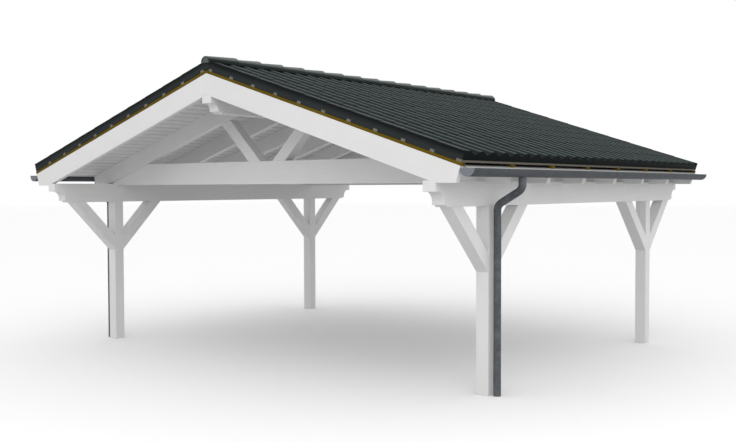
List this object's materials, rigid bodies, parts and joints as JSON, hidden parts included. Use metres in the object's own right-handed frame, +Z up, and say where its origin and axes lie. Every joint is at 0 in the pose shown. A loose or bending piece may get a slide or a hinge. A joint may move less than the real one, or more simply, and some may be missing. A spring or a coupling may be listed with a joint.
{
  "type": "gable-roof double carport",
  "caption": "Open white timber carport for two cars, with braced corner posts, trussed gable roof, wave-profile tiles, half-round gutters and downpipes.",
  "frame": {"origin": "on the ground in the middle of the carport's outline, gutters and ridge tile ends included", "axes": "+X to the right along the gables, +Y along the ridge towards the back gable, +Z up; the gable seen in the picture faces -Y"},
  "size_m": [6.8892, 6.075, 3.5398],
  "materials": {
    "painted_timber": "opaque white paint on planed glued timber, satin, soft arrises",
    "painted_boarding": "opaque white paint on tongued and grooved boards, satin",
    "counter_batten_timber": "ochre-tinted sawn softwood, matt",
    "tile_batten_timber": "pale sawn softwood, weathered, matt",
    "roof_tile": "dark slate-grey engobed tile, soft satin sheen",
    "ridge_tile": "dark slate-grey engobed tile, soft satin sheen",
    "gutter_metal": "grey-blue pre-weathered zinc, matt",
    "downpipe_metal": "grey-blue pre-weathered zinc, matt, lightly mottled"
  },
  "bodies": {
    "root": {"post_back_left": "painted_timber", "post_back_right": "painted_timber", "post_front_left": "painted_timber", "post_front_right": "painted_timber", "brace_back_left_back": "painted_timber", "brace_back_left_front": "painted_timber", "brace_back_right_back": "painted_timber", "brace_back_right_front": "painted_timber", "brace_front_left_back": "painted_timber", "brace_front_left_front": "painted_timber", "brace_front_right_back": "painted_timber", "brace_front_right_front": "painted_timber", "eave_purlin_left": "painted_timber", "eave_purlin_right": "painted_timber", "ridge_purlin": "painted_timber", "verge_rafter_back_left": "painted_timber", "verge_rafter_back_right": "painted_timber", "verge_rafter_front_left": "painted_timber", "verge_rafter_front_right": "painted_timber", "rafter_2_left": "painted_timber", "rafter_2_right": "painted_timber", "rafter_3_left": "painted_timber", "rafter_3_right": "painted_timber", "rafter_4_left": "painted_timber", "rafter_4_right": "painted_timber", "rafter_5_left": "painted_timber", "rafter_5_right": "painted_timber", "rafter_6_left": "painted_timber", "rafter_6_right": "painted_timber", "rafter_7_left": "painted_timber", "rafter_7_right": "painted_timber", "tie_beam_back": "painted_timber", "tie_beam_front": "painted_timber", "truss_strut_back_left": "painted_timber", "truss_strut_back_right": "painted_timber", "truss_strut_front_left": "painted_timber", "truss_strut_front_right": "painted_timber", "roof_boarding_left": "painted_boarding", "roof_boarding_right": "painted_boarding", "counter_battens_left": "counter_batten_timber", "counter_battens_right": "counter_batten_timber", "tile_battens_left": "tile_batten_timber", "tile_battens_right": "tile_batten_timber", "roof_tiles_left": "roof_tile", "roof_tiles_right": "roof_tile", "ridge_tiles": "ridge_tile", "gutter_left": "gutter_metal", "gutter_right": "gutter_metal", "downpipe_left": "downpipe_metal", "downpipe_right": "downpipe_metal"}
  },
  "joints": []
}
